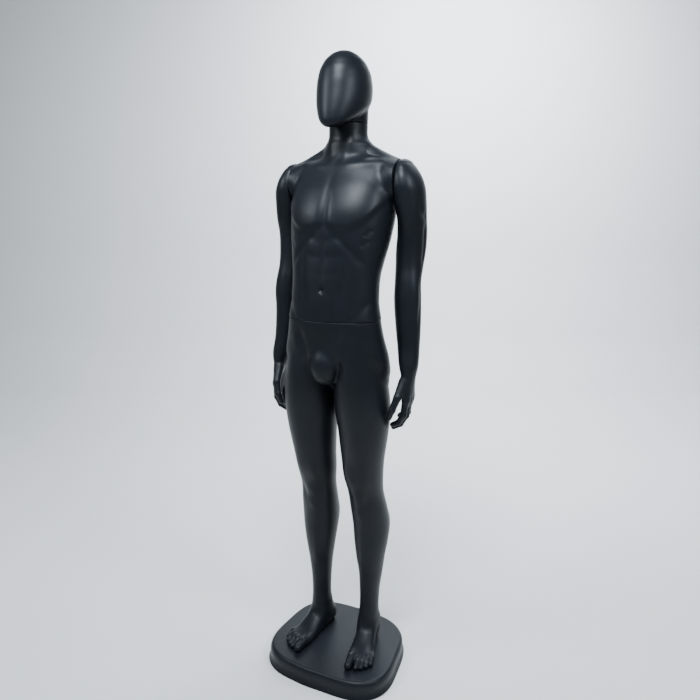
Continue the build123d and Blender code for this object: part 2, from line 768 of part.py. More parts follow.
def skull_solid(inset, top_z, jaw_lift):
    """The egg of the head down to the sloping underside of the jaw."""
    jaw_turn = math.radians(jaw_slope_deg)
    jaw_plane = Plane(
        origin=(0, jaw_foot_y, jaw_foot_z + jaw_lift),
        x_dir=(1, 0, 0),
        z_dir=(0, -math.sin(jaw_turn), math.cos(jaw_turn)),
    )
    with BuildPart() as skull:
        add(rings_loft(cut_stack(head_rings, head_rings[0][0], top_z), inset))
        split(bisect_by=jaw_plane, keep=Keep.TOP)
    return skull.part


skull_outer = skull_solid(0.0, total_height, 0.0)
skull_inner = skull_solid(shell_wall, skull_roof_z, shell_wall)
nape_outer = rings_loft(nape_rings)
nape_inner = rings_loft(cut_stack(nape_rings, head_floor_top, nape_roof_z), shell_wall)
head_screw_plane = Plane(origin=(0, neck_y, head_plate_top), z_dir=(0, 0, -1))
head_holes = screw_holes(
    neck_screw_count, neck_screw_ring, small_screw_radius + thread_clearance,
    neck_plate_thickness + screw_bite, head_screw_plane,
)

with BuildPart() as head_shell:
    add(skull_outer)
    add(nape_outer)
    add(skull_inner, mode=Mode.SUBTRACT)
    add(nape_inner, mode=Mode.SUBTRACT)
    with BuildSketch(Plane(origin=(0, neck_y, head_floor_z - overcut))):
        Circle(pivot_radius + fixing_clearance)
    extrude(amount=shell_wall + 2 * overcut, mode=Mode.SUBTRACT)
    add(head_holes, mode=Mode.SUBTRACT)

with BuildPart() as head_neck_plate:
    with BuildSketch(Plane(origin=(0, neck_y, head_floor_top))):
        Circle(neck_plate_radius)
        Circle(pivot_radius + running_clearance, mode=Mode.SUBTRACT)
        with PolarLocations(neck_screw_ring, neck_screw_count):
            Circle(small_screw_radius + fixing_clearance, mode=Mode.SUBTRACT)
    extrude(amount=neck_plate_thickness)

head_plate_screws = screws(
    neck_screw_count, neck_screw_ring, small_screw_radius,
    neck_plate_thickness + screw_bite - fixing_clearance, head_screw_plane,
)

# --- arms -----------------------------------------------------------------------------------
seat_plane = Plane(origin=(0, shoulder_y, shoulder_z), x_dir=(0, 1, 0), z_dir=(1, 0, 0))


def seat_cut(extra):
    """What is cleared away on the body side of an arm so that it can turn past the torso."""
    with BuildPart() as cut:
        with BuildSketch(seat_plane):
            Circle(arm_seat_radius + extra)
        extrude(amount=arm_seat_x + extra)
        with BuildSketch(seat_plane):
            Circle(arm_clear_radius + extra)
        extrude(amount=arm_clear_x + extra)
    return cut.part


arm_outer = rings_loft(arm_rings)
thumb_outer = rings_loft(thumb_rings)
arm_inner = rings_loft(cut_stack(arm_rings, hollow_wrist_z, arm_roof_z), arm_wall)
arm_inner = arm_inner - seat_cut(arm_wall)
arm_inside_x = arm_seat_x + arm_wall
stud_face_x = arm_inside_x + stud_flange_thickness
arm_stud_plane = Plane(origin=(stud_face_x, shoulder_y, shoulder_z), x_dir=(0, 1, 0), z_dir=(-1, 0, 0))
arm_screw_bite = arm_wall - arm_screw_skin
arm_holes = screw_holes(
    shoulder_screw_count, shoulder_screw_ring, small_screw_radius + thread_clearance,
    stud_flange_thickness + arm_screw_bite, arm_stud_plane,
)
arm_seat_clearing = seat_cut(0.0)

with BuildPart() as left_arm_shell:
    add(arm_outer)
    add(thumb_outer)
    add(arm_seat_clearing, mode=Mode.SUBTRACT)
    add(arm_inner, mode=Mode.SUBTRACT)
    with BuildSketch(Plane.YZ.offset(arm_seat_x - overcut)):
        with Locations((shoulder_y, shoulder_z)):
            Circle(stud_radius + fixing_clearance)
    extrude(amount=arm_wall + 2 * overcut, mode=Mode.SUBTRACT)
    add(arm_holes, mode=Mode.SUBTRACT)

socket_back_x = shoulder_face_x - socket_sleeve_length
spring_back_x = socket_back_x - coupling_gap - disc_spring_height
nut_back_x = spring_back_x - stud_nut_height

with BuildPart() as left_arm_stud:
    with BuildSketch(Plane(origin=(arm_inside_x, shoulder_y, shoulder_z), x_dir=(0, 1, 0), z_dir=(1, 0, 0))):
        Circle(stud_flange_radius)
        with PolarLocations(shoulder_screw_ring, shoulder_screw_count):
            Circle(small_screw_radius + fixing_clearance, mode=Mode.SUBTRACT)
    extrude(amount=stud_flange_thickness)
    with BuildSketch(Plane(origin=(arm_inside_x, shoulder_y, shoulder_z), x_dir=(0, 1, 0), z_dir=(1, 0, 0))):
        Circle(stud_radius)
    extrude(amount=nut_back_x - stud_thread_over - arm_inside_x)

left_arm_screws = screws(
    shoulder_screw_count, shoulder_screw_ring, small_screw_radius,
    stud_flange_thickness + arm_screw_bite - fixing_clearance, arm_stud_plane,
)

with BuildPart() as left_shoulder_washer:
    with BuildSketch(Plane.YZ.offset(shoulder_face_x + coupling_gap)):
        with Locations((shoulder_y, shoulder_z)):
            Circle(shoulder_washer_radius)
            Circle(stud_radius + fixing_clearance, mode=Mode.SUBTRACT)
    extrude(amount=arm_seat_x - shoulder_face_x - coupling_gap)

with BuildPart() as left_shoulder_socket:
    with BuildSketch(socket_plane):
        Circle(socket_flange_radius)
        Circle(stud_radius + running_clearance, mode=Mode.SUBTRACT)
        with PolarLocations(shoulder_screw_ring, shoulder_screw_count):
            Circle(small_screw_radius + fixing_clearance, mode=Mode.SUBTRACT)
    extrude(amount=socket_flange_thickness)
    with BuildSketch(Plane.YZ.offset(socket_back_x)):
        with Locations((shoulder_y, shoulder_z)):
            Circle(socket_sleeve_radius)
            Circle(stud_radius + running_clearance, mode=Mode.SUBTRACT)
    extrude(amount=socket_sleeve_length)

left_socket_screws = screws(
    shoulder_screw_count, shoulder_screw_ring, small_screw_radius,
    socket_hole_length - fixing_clearance, socket_plane,
)

spring_inner = stud_radius + fixing_clearance
spring_step = disc_spring_height / disc_spring_turns
spring_outline = []
for turn in range(disc_spring_turns + 1):
    radius = spring_inner + disc_spring_lip if turn % 2 else disc_spring_radius
    spring_outline.append((spring_back_x + turn * spring_step, radius))

with BuildPart() as left_shoulder_spring:
    with BuildSketch(Plane.XY):
        with BuildLine():
            Polyline(
                (spring_back_x, spring_inner), *spring_outline,
                (spring_back_x + disc_spring_height, spring_inner), close=True,
            )
        make_face()
    revolve(axis=Axis.X)
left_shoulder_spring.part = Pos(0, shoulder_y, shoulder_z) * left_shoulder_spring.part

with BuildPart() as left_shoulder_nut:
    with BuildSketch(Plane.YZ.offset(nut_back_x)):
        with Locations((shoulder_y, shoulder_z)):
            RegularPolygon(stud_nut_across_flats / 2, 6, major_radius=False)
            Circle(stud_radius + thread_clearance, mode=Mode.SUBTRACT)
    extrude(amount=stud_nut_height)

# --- export ---------------------------------------------------------------------------------
nodes = {
    "base_shell": base_shell.part,
    "base_pads": base_pads.part,
    "floor_plate": floor_plate.part,
    "floor_plate_screws": floor_plate_screws.part,
    "foot_rod_washers": foot_rod_washers.part,
    "foot_rod_nuts": foot_rod_nuts.part,
    "left_foot_rod": left_foot_rod.part,
    "right_foot_rod": flip_x(left_foot_rod.part),
    "left_foot_bush": left_foot_bush.part,
    "right_foot_bush": flip_x(left_foot_bush.part),
    "lower_body_shell": lower_body_shell.part,
    "hip_waist_plate": hip_waist_plate.part,
    "hip_plate_screws": hip_plate_screws,
    "torso_shell": torso_shell.part,
    "waist_hub": waist_hub.part,
    "waist_hub_screws": waist_hub_screws,
    "torso_neck_plate": torso_neck_plate.part,
    "torso_neck_screws": torso_neck_screws,
    "neck_pivot": neck_pivot.part,
    "neck_friction_washer": neck_friction_washer.part,
    "neck_spring_washer": neck_spring_washer.part,
    "neck_nut": neck_nut.part,
    "head_shell": head_shell.part,
    "head_neck_plate": head_neck_plate.part,
    "head_plate_screws": head_plate_screws,
}
left_nodes = {
    "arm_shell": left_arm_shell.part,
    "arm_stud": left_arm_stud.part,
    "arm_screws": left_arm_screws,
    "shoulder_washer": left_shoulder_washer.part,
    "shoulder_socket": left_shoulder_socket.part,
    "socket_screws": left_socket_screws,
    "shoulder_spring": left_shoulder_spring.part,
    "shoulder_nut": left_shoulder_nut.part,
}
for name, solid in left_nodes.items():
    nodes["left_" + name] = solid
    nodes["right_" + name] = flip_x(solid)

for name, solid in nodes.items():
    solid.label = name
    export_step(solid, f"parts/{name}.step")
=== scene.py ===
import math

import bmesh
import bpy
import numpy as np
import openvdb
from mathutils import Matrix


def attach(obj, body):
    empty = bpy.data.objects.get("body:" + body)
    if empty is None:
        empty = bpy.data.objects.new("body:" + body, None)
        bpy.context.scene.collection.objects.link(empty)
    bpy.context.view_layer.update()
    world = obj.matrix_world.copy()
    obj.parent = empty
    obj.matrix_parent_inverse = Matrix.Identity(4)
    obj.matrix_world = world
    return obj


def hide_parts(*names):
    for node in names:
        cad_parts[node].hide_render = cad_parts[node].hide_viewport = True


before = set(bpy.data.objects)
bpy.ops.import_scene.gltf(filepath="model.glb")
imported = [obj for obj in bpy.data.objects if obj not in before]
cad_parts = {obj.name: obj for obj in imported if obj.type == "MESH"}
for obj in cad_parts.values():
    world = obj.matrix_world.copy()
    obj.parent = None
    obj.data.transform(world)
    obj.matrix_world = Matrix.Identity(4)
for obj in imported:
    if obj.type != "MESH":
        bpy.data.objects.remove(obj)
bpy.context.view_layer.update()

# ------------------------------------------------------------------ lower body
# Hips, legs and feet are one hollow moulding in satin black plastic, open at the waist for the
# twist coupling. It stands on two rods that come up through the soles. All shapes here are in
# millimetres and become metres when the mesh is made.


def block(low, high, cell):
    """Three axes of evenly spaced points between two corners, shaped to broadcast to a block."""
    x, y, z = (np.arange(a, b + cell, cell, dtype=np.float32) for a, b in zip(low, high))
    return x[:, None, None], y[None, :, None], z[None, None, :]


def along(rings, t):
    """Every column of a ring table at the places t: a cubic through the rows, whose slope at
    each row is that of the parabola through it and its two neighbours."""
    rings = np.array(sorted(rings), dtype=np.float32)
    at, values = rings[:, 0], rings[:, 1:]
    slope = np.gradient(values, at, axis=0)
    i = np.clip(np.searchsorted(at, t) - 1, 0, len(at) - 2)
    gap = (at[i + 1] - at[i])[:, None]
    s = np.clip((t[:, None] - at[i][:, None]) / gap, 0, 1)
    return (
        values[i] * (1 + 2 * s) * (1 - s) ** 2
        + values[i + 1] * s * s * (3 - 2 * s)
        + slope[i] * gap * s * (1 - s) ** 2
        + slope[i + 1] * gap * s * s * (s - 1)
    )


def tube(a, b, t, rings, power=2.0):
    """Signed reach of a body whose cross sections are superellipses. a and b lie across it and
    t along it; the value is the radial distance to the section's edge, negative inside, and past
    either end the distance to the end is added by Pythagoras."""
    columns = along(rings, t.ravel()).T.reshape((4,) + t.shape)
    da, db = a - columns[0], b - columns[1]
    share = (np.abs(da / columns[2]) ** power + np.abs(db / columns[3]) ** power) ** (1 / power)
    radius = np.sqrt(da * da + db * db) + 1e-3
    out = radius - radius / np.maximum(share, 1e-4)
    out = np.maximum(out, -np.minimum(columns[2], columns[3]))
    ends = min(r[0] for r in rings), max(r[0] for r in rings)
    over = np.maximum(np.maximum(ends[0] - t, t - ends[1]), 0)
    return np.where(over > 0, np.sqrt(np.maximum(out, 0) ** 2 + over**2), out)


def join(a, b, soft):
    """Union of two solids with a fillet: the lesser value, lowered by a parabola where they meet."""
    h = np.maximum(soft - np.abs(a - b), 0) / soft
    return np.minimum(a, b) - h * h * soft * 0.25


def trim_off(a, b, soft):
    """The part of a that is also in b, with a rounded edge: a join of the two turned inside out."""
    return -join(-a, -b, soft)


def limb(points, start, end, radius_start, radius_end):
    """Distance to a straight tapering rod with round ends."""
    x, y, z = points
    s, e = np.array(start, dtype=float), np.array(end, dtype=float)
    d = e - s
    t = np.clip(((x - s[0]) * d[0] + (y - s[1]) * d[1] + (z - s[2]) * d[2]) / (d @ d), 0, 1)
    gone = (x - s[0] - t * d[0]) ** 2 + (y - s[1] - t * d[1]) ** 2 + (z - s[2] - t * d[2]) ** 2
    return np.sqrt(gone) - radius_start - (radius_end - radius_start) * t


def chain(points, stops, radii, soft):
    """Rods end to end through the stops, with a fillet at each joint between them."""
    pieces = [
        limb(points, *ends, *thick) for ends, thick in zip(zip(stops, stops[1:]), zip(radii, radii[1:]))
    ]
    solid = pieces[0]
    for piece in pieces[1:]:
        solid = join(solid, piece, soft)
    return solid


def pad(points, centre, half, tilt=0.0):
    """Radial distance to an ellipsoid, tilted about X by an angle in radians."""
    x, y, z = (p - c for p, c in zip(points, centre))
    c, s = math.cos(-tilt), math.sin(-tilt)
    y, z = y * c - z * s, y * s + z * c
    share = np.sqrt((x / half[0]) ** 2 + (y / half[1]) ** 2 + (z / half[2]) ** 2)
    return np.sqrt(x * x + y * y + z * z) * (1 - 1 / np.maximum(share, 1e-3))


def near(points, low, high):
    """Index slices of the part of a block between two corners."""
    cut = []
    for p, a, b in zip(points, low, high):
        line = p.ravel()
        cut.append(slice(int(np.searchsorted(line, a)), int(np.searchsorted(line, b))))
    return tuple(cut)


def part_of(points, cut):
    """The three axes of a cut of a block."""
    x, y, z = points
    return x[cut[0]], y[:, cut[1]], z[:, :, cut[2]]


def swell(solid, points, centre, spread, height):
    """Raises the skin near a centre by height times a bell curve of the given spreads; a
    negative height presses it in."""
    reach = 2.4 * max(spread)
    cut = near(points, [c - reach for c in centre], [c + reach for c in centre])
    x, y, z = (p - c for p, c in zip(part_of(points, cut), centre))
    q = (x / spread[0]) ** 2 + (y / spread[1]) ** 2 + (z / spread[2]) ** 2
    solid[cut] -= height * np.exp(-q)


def groove(axes, line, width, depth):
    """What a groove of bell-curve section adds along a broken line, over as many axes as the line
    has: depth times a bell curve of the distance to it. The groove fades in and out over its
    first and last fifth."""
    lengths = np.linalg.norm(np.diff(line, axis=0), axis=1)
    total, gone = lengths.sum(), 0.0
    best = np.full(np.broadcast(*axes).shape, 1e9, dtype=np.float32)
    where = np.zeros_like(best)
    for start, end, length in zip(line, line[1:], lengths):
        d = end - start
        t = np.clip(sum((p - a) * b for p, a, b in zip(axes, start, d)) / (d @ d), 0, 1)
        far = sum((p - a - t * b) ** 2 for p, a, b in zip(axes, start, d))
        where = np.where(far < best, (gone + t * length) / total, where)
        best = np.minimum(best, far)
        gone += length
    fade = np.clip(np.minimum(where, 1 - where) * 5 + 0.12, 0, 1)
    return depth * fade * np.exp(-best / width**2)


def crease(solid, points, line, width, depth):
    """Presses a groove along a broken line in space; a negative depth raises a ridge."""
    line = np.array(line, dtype=float)
    reach = 2.6 * width
    cut = near(points, line.min(0) - reach, line.max(0) + reach)
    solid[cut] += groove(part_of(points, cut), line, width, depth)


def score(solid, points, line, width, depth, limit=0.0, front=True):
    """Presses a groove along a broken line drawn in elevation, as x and z, on what lies before or
    behind the plane y = limit; a negative depth raises a ridge."""
    line = np.array(line, dtype=float)
    reach = 2.6 * width
    (x0, z0), (x1, z1) = line.min(0) - reach, line.max(0) + reach
    y0, y1 = (-1e4, limit) if front else (limit, 1e4)
    cut = near(points, (x0, y0, z0), (x1, y1, z1))
    x, _, z = part_of(points, cut)
    solid[cut] += groove((x, z), line, width, depth)


def soft_step(value, width):
    """Rises from 0 to 1 as value passes zero, over about four widths."""
    return 1 / (1 + np.exp(np.clip(-value / width, -40, 40)))


def skin(name, solid, low, cell, mirrored, most):
    """Mesh of the surface where the solid's value is zero. A half body gets its other half by
    reversing the block; the mesh is then thinned to at most the given number of triangles."""
    start = np.array(low, dtype=float)
    if mirrored:
        solid = np.concatenate([solid[:0:-1], solid])
        start[0] -= cell * (len(solid) - 1) / 2
    grid = openvdb.FloatGrid(3 * cell)
    grid.copyFromArray(np.ascontiguousarray(np.clip(solid, -3 * cell, 3 * cell), dtype=np.float32))
    verts, quads = grid.convertToQuads(0.0)
    verts = (verts * cell + start) * 0.001
    mesh = bpy.data.meshes.new(name)
    mesh.vertices.add(len(verts))
    mesh.vertices.foreach_set("co", verts.astype(np.float32).ravel())
    mesh.loops.add(quads.size)
    mesh.loops.foreach_set("vertex_index", quads.astype(np.int32).ravel())
    mesh.polygons.add(len(quads))
    mesh.polygons.foreach_set("loop_start", np.arange(0, quads.size, 4, dtype=np.int32))
    mesh.update(calc_edges=True)
    body = bpy.data.objects.new(name, mesh)
    bpy.context.scene.collection.objects.link(body)
    if 2 * len(quads) > most:
        thin = body.modifiers.new("thin", "DECIMATE")
        thin.ratio = most / (2 * len(quads))
        thinned = body.evaluated_get(bpy.context.evaluated_depsgraph_get())
        finished = bpy.data.meshes.new_from_object(thinned)
        body.modifiers.clear()
        body.data = finished
        finished.name = name
    work = bmesh.new()
    work.from_mesh(body.data)
    bmesh.ops.recalc_face_normals(work, faces=work.faces)
    if work.calc_volume(signed=True) < 0:
        bmesh.ops.reverse_faces(work, faces=work.faces)
    work.to_mesh(body.data)
    work.free()
    body.data.shade_smooth()
    return body


def cut_flat(body, point, normal, lip):
    """Cuts a moulding level where it meets its neighbour and closes it with a flat wall. Two rows
    of edges beside the cut are drawn in, by a quarter circle of radius lip, to round the rim."""
    point, normal = np.array(point) * 0.001, np.array(normal, dtype=float)
    lip *= 0.001
    work = bmesh.new()
    work.from_mesh(body.data)
    for back in (lip, lip * 0.35):
        bmesh.ops.bisect_plane(
            work, geom=work.verts[:] + work.edges[:] + work.faces[:], plane_co=point - normal * back,
            plane_no=normal, dist=1e-7,
        )
    made = bmesh.ops.bisect_plane(
        work, geom=work.verts[:] + work.edges[:] + work.faces[:], plane_co=point, plane_no=normal,
        clear_outer=True, dist=1e-7,
    )
    rim = [e for e in made["geom_cut"] if isinstance(e, bmesh.types.BMEdge)]
    verts = {v for e in rim for v in e.verts}
    middle = np.mean([v.co[:] for v in verts], axis=0)
    for v in work.verts:
        gap = float((point - np.array(v.co[:])) @ normal)
        if -1e-6 < gap < lip * 0.9:  # on the cut or on the nearer row; the farther row stays
            away = np.array(v.co[:]) - middle
            away -= normal * (away @ normal)
            away /= max(np.linalg.norm(away), 1e-9)
            pull = lip - math.sqrt(max(lip**2 - (lip - gap) ** 2, 0))
            v.co = v.co - type(v.co)(away * pull)
    faces = bmesh.ops.contextual_create(work, geom=rim)["faces"]
    for f in faces:
        f.smooth = False
    bmesh.ops.recalc_face_normals(work, faces=work.faces)
    work.to_mesh(body.data)
    work.free()


leg_x = 87.0
ankle_y = 46.0
base_top = 50.0
sole_gap = 0.3
waist_z = 1100.0
waist_gap = 1.5
pelvis_rings = [
    (1120.0, 0.0, -42.0, 144.0, 95.5),
    (1098.0, 0.0, -42.0, 146.0, 96.0),
    (1046.0, 0.0, -37.0, 154.0, 98.0),
    (985.0, 0.0, -27.0, 167.0, 100.0),
    (930.0, 0.0, -10.0, 166.0, 82.0),
    (892.0, 0.0, 2.0, 148.0, 58.0),
    (866.0, 0.0, 10.0, 108.0, 38.0),
    (848.0, 0.0, 14.0, 50.0, 20.0),
]
leg_rings = [
    (1030.0, leg_x - 10.0, -42.0, 44.0, 72.0),
    (985.0, leg_x - 6.0, -38.0, 64.0, 84.0),
    (925.0, leg_x - 4.0, -31.0, 77.0, 92.0),
    (865.0, leg_x - 1.0, -26.0, 83.0, 93.0),
    (822.0, leg_x, -22.0, 84.0, 90.0),
    (768.0, leg_x + 1.0, -18.0, 78.0, 83.0),
    (715.0, leg_x - 1.0, -13.0, 71.5, 78.0),
    (662.0, leg_x - 4.0, -7.0, 65.0, 71.0),
    (608.0, leg_x - 6.0, 2.0, 61.0, 66.0),
    (551.0, leg_x - 4.0, 17.0, 55.0, 60.0),
    (492.0, leg_x, 34.0, 57.0, 63.0),
    (434.0, leg_x + 3.0, 48.0, 57.5, 65.0),
    (383.0, leg_x + 3.0, 47.0, 53.0, 60.0),
    (332.0, leg_x + 2.0, 45.0, 45.5, 52.0),
    (275.0, leg_x + 2.0, 47.0, 37.0, 43.0),
    (223.0, leg_x, ankle_y, 31.5, 38.0),
    (170.0, leg_x - 1.0, ankle_y - 1.0, 29.5, 35.0),
    (120.0, leg_x - 2.0, ankle_y - 2.0, 31.0, 37.0),
    (84.0, leg_x - 3.0, ankle_y - 2.0, 28.0, 35.0),
]
heel = (68.0, 119.0)
toe_out = math.radians(12.0)
# along the foot from the heel: across, height of middle, half width, half height
foot_rings = [
    (20.0, 0.0, 71.0, 9.0, 12.0),
    (26.0, 0.0, 74.0, 19.0, 24.0),
    (40.0, 0.0, 79.0, 27.0, 36.0),
    (66.0, 0.0, 84.0, 31.0, 48.0),
    (95.0, 0.0, 78.0, 32.0, 45.0),
    (130.0, -1.0, 68.0, 34.0, 32.0),
    (165.0, -2.0, 61.0, 38.0, 21.0),
    (190.0, -2.0, 59.0, 39.0, 16.5),
    (208.0, -2.0, 58.0, 35.0, 12.0),
]
# each toe: where it starts and ends along the foot and across it, and its two radii
toes = [
    ((182.0, -25.0), (234.0, -31.0), 12.5, 11.5),
    ((186.0, -6.0), (232.0, -7.5), 8.6, 7.8),
    ((184.0, 8.0), (227.0, 7.5), 8.2, 7.4),
    ((180.0, 20.5), (218.0, 21.5), 8.0, 7.2),
    ((172.0, 31.5), (206.0, 34.0), 7.8, 7.0),
]

cell = 2.0
low, high = (0.0, -160.0, base_top - 8.0), (190.0, 150.0, waist_z + 8.0)
at = block(low, high, cell)
x, y, z = at
lower = tube(x, y, z, pelvis_rings, 2.15)
lower = join(lower, tube(x, y, z, leg_rings, 2.0), 12.0)
lower = join(lower, pad(at, (68.0, 34.0, 925.0), (70.0, 62.0, 78.0)), 18.0)
lower = join(lower, pad(at, (0.0, -98.0, 968.0), (49.0, 50.0, 61.0), math.radians(-8)), 11.0)

cut = near(at, (0.0, -160.0, base_top - 8.0), (190.0, 150.0, 165.0))
fx, fy, fz = part_of(at, cut)
run = (fx - heel[0]) * math.sin(toe_out) - (fy - heel[1]) * math.cos(toe_out)
side = (fx - heel[0]) * math.cos(toe_out) + (fy - heel[1]) * math.sin(toe_out)
run, side, up = np.broadcast_arrays(run + 0 * fz, side + 0 * fz, fz + 0 * run[..., :1])
foot = tube(side, up, run, foot_rings, 2.2)
digits = np.full(foot.shape, 1e3, dtype=np.float32)
for start, end, thick, tip in toes:
    bend = (start[0] + (end[0] - start[0]) * 0.45, start[1] + (end[1] - start[1]) * 0.45)
    root = limb((run, side, up), (*start, 60.0), (*bend, 65.0), thick, thick)
    end_joint = limb((run, side, up), (*bend, 65.0), (*end, 50.0 + tip * 0.92), thick * 0.97, tip)
    digits = join(digits, join(root, end_joint, 4.0), 1.2)
foot = join(foot, digits, 9.0)
lower[cut] = join(lower[cut], foot, 22.0)
lower = trim_off(lower, base_top + sole_gap - z + 0 * x + 0 * y, 3.0)

# thighs, knees, shins, calves and ankles, as fullness over or under the plain limb
swell(lower, at, (100.0, -95.0, 770.0), (34.0, 40.0, 90.0), 5.0)
swell(lower, at, (58.0, -66.0, 622.0), (20.0, 30.0, 42.0), 5.5)
swell(lower, at, (112.0, -62.0, 650.0), (22.0, 34.0, 60.0), 4.0)
swell(lower, at, (79.0, -44.0, 548.0), (20.0, 20.0, 24.0), 5.0)
swell(lower, at, (55.0, -28.0, 536.0), (10.0, 18.0, 26.0), -3.0)
swell(lower, at, (106.0, -28.0, 536.0), (10.0, 18.0, 26.0), -3.0)
swell(lower, at, (80.0, -30.0, 492.0), (12.0, 14.0, 18.0), 3.0)
swell(lower, at, (62.0, 96.0, 428.0), (22.0, 26.0, 58.0), 6.0)
swell(lower, at, (116.0, 96.0, 446.0), (22.0, 26.0, 54.0), 5.0)
swell(lower, at, (84.0, 84.0, 545.0), (26.0, 22.0, 34.0), -3.5)
crease(lower, at, [(90.0, 112.0, 480.0), (90.0, 112.0, 400.0), (89.0, 98.0, 350.0)], 9.0, 2.2)
crease(lower, at, [(82.0, -6.0, 470.0), (83.0, -8.0, 380.0), (84.0, 6.0, 270.0)], 8.0, -2.2)
swell(lower, at, (59.0, 52.0, 134.0), (10.0, 13.0, 13.0), 4.5)
swell(lower, at, (113.0, 62.0, 124.0), (10.0, 13.0, 14.0), 4.5)
crease(lower, at, [(69.0, 78.0, 250.0), (66.0, 84.0, 130.0)], 9.0, 2.6)
crease(lower, at, [(102.0, 84.0, 250.0), (98.0, 90.0, 125.0)], 9.0, 2.6)
swell(lower, at, (88.0, -118.0, 70.0), (16.0, 14.0, 8.0), 1.0)

# groin folds, hip hollows and the fold under each buttock
groin_fold = [(34.0, 920.0), (48.0, 958.0), (52.0, 1000.0), (62.0, 1036.0), (80.0, 1080.0)]
buttock_fold = [(6.0, 856.0), (56.0, 845.0), (104.0, 852.0), (138.0, 872.0)]
cleft = [(0.0, 840.0), (0.0, 900.0), (0.0, 960.0), (0.0, 1015.0)]
score(lower, at, groin_fold, 12.0, 3.4)
score(lower, at, [(66.0, 965.0), (80.0, 1010.0), (104.0, 1060.0)], 17.0, -2.4)
score(lower, at, buttock_fold, 9.0, 6.0, 20.0, False)
score(lower, at, cleft, 8.0, 16.0, 20.0, False)

lower_body = skin("lower_body", lower, low, cell, True, 190000)
cut_flat(lower_body, (0, 0, waist_z - waist_gap), (0, 0, 1), 2.0)


class Wire:
    """One output socket of a shader; + - * and clip add Math nodes to its tree."""

    def __init__(self, tree, socket):
        self.tree = tree
        self.socket = socket

    def step(self, kind, *values):
        return add_node(self.tree, "ShaderNodeMath", {"operation": kind}, dict(enumerate(values)))

    def __add__(self, other):
        return self.step("ADD", self, other)

    def __sub__(self, other):
        return self.step("SUBTRACT", self, other)

    def __mul__(self, other):
        return self.step("MULTIPLY", self, other)

    def clip(self):
        return self.step("MINIMUM", self.step("MAXIMUM", self, 0.0), 1.0)


def add_node(tree, kind, settings, inputs, out=0):
    """Adds a node, sets it up, joins or fills its sockets, and returns the chosen output."""
    node = tree.nodes.new(kind)
    for key, value in settings.items():
        setattr(node, key, value)
    for key, value in inputs.items():
        if isinstance(value, Wire):
            tree.links.new(value.socket, node.inputs[key])
        else:
            node.inputs[key].default_value = value
    return Wire(tree, node.outputs[out])


def finish_of(name, fixed, draw):
    """A material whose Principled shader has fixed values, and whose varying sockets are filled
    by draw, which is given the tree and the object's own coordinates."""
    material = bpy.data.materials.new(name)
    material.use_nodes = True
    tree = material.node_tree
    shader = tree.nodes["Principled BSDF"]
    for key, value in fixed.items():
        shader.inputs[key].default_value = value
    place = add_node(tree, "ShaderNodeTexCoord", {}, {}, "Object")
    for key, wire in draw(tree, place).items():
        tree.links.new(wire.socket, shader.inputs[key])
    return material


def grain(tree, place, scale, detail=3.0, rough=0.55, stretch=(1, 1, 1)):
    """Noise from 0 to 1 at a scale in features per metre, which may be stretched."""
    if stretch != (1, 1, 1):
        place = add_node(tree, "ShaderNodeMapping", {}, {"Vector": place, "Scale": stretch})
    sockets = {"Vector": place, "Scale": scale, "Detail": detail, "Roughness": rough}
    return add_node(tree, "ShaderNodeTexNoise", {}, sockets)


def tint(tree, share, dark, light):
    """A colour that goes from dark to light as share goes from 0 to 1."""
    return add_node(
        tree, "ShaderNodeMix", {"data_type": "RGBA"}, {"Factor": share, 6: (*dark, 1), 7: (*light, 1)}, 2
    )


def bumps(tree, height, depth):
    """Normals of a skin raised by height times depth, in metres."""
    sockets = {"Strength": 1.0, "Distance": depth, "Height": height}
    return add_node(tree, "ShaderNodeBump", {}, sockets, "Normal")


def body_plastic(tree, place):
    """Satin moulded plastic: cloudy gloss, a fine orange-peel skin, and rare light scuffs."""
    cloud = grain(tree, place, 7.0, 4.0)
    peel = grain(tree, place, 420.0, 2.0, 0.6)
    smear = grain(tree, place, 38.0, 5.0, 0.65, (1, 1, 0.35))
    scuff = ((grain(tree, place, 90.0, 6.0, 0.7, (1, 1, 2.2)) - 0.66) * 9.0).clip()
    dust = ((grain(tree, place, 900.0, 1.0) - 0.7) * 6.0).clip()
    shade = (cloud * 0.5 + scuff * 0.4 + dust * 0.22).clip()
    return {
        "Base Color": tint(tree, shade, (0.0036, 0.0046, 0.0066), (0.0140, 0.0178, 0.0240)),
        "Roughness": (cloud * 0.08 + smear * 0.09 + scuff * 0.12 + 0.33).clip(),
        "Normal": bumps(tree, peel * 0.7 + smear * 0.6, 0.00022),
    }


def mould(piece, body_name, node):
    """Gives a moulding its plastic, and says what it rides on and which node it shows."""
    piece.data.materials.append(plastic)
    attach(piece, body_name)
    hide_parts(node)


plastic = finish_of("satin_black_plastic", {"IOR": 1.29}, body_plastic)
mould(lower_body, "stand_and_legs", "lower_body_shell")

# ------------------------------------------------------------------ torso
# The torso is a hollow moulding from the waist to the neck in the same plastic. Its floor carries
# the bayonet hub, each shoulder ends in a flat seat for an arm, and the neck is closed by a wall.

